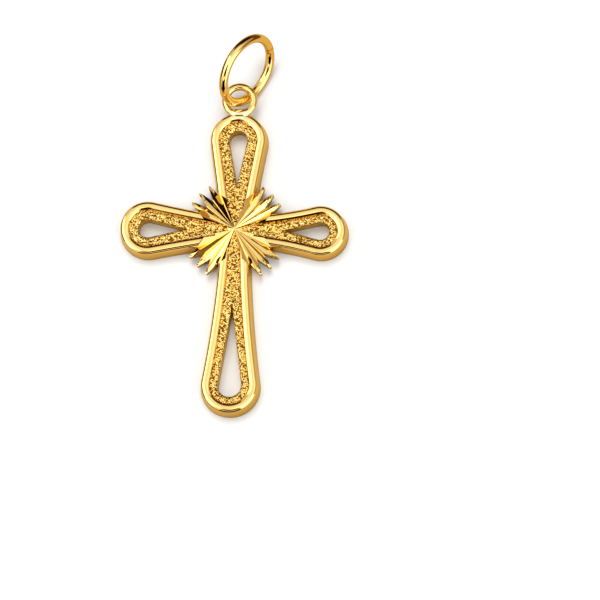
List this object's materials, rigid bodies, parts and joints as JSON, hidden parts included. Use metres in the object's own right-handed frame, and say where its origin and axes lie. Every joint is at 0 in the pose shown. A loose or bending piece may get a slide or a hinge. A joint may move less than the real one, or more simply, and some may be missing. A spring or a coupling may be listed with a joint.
{
  "type": "cross pendant",
  "caption": "Flat-backed cast cross pendant with pierced teardrop arms, a cut starburst at the crossing, a soldered eye and a loose round-wire jump ring for a chain.",
  "frame": {"origin": "on the flat back, under the point where the arms cross", "axes": "+Z out of the decorated face, +Y along the upper arm to the eye and jump ring, +X along the right arm"},
  "size_m": [0.0143, 0.0238, 0.0045],
  "materials": {
    "polished_gold": "mirror-polished yellow gold alloy",
    "frosted_gold": "frosted, sparkling yellow gold alloy",
    "wire_gold": "polished round wire of yellow gold alloy"
  },
  "bodies": {
    "root": {"cross": "polished_gold", "jump_ring": "wire_gold"}
  },
  "joints": []
}
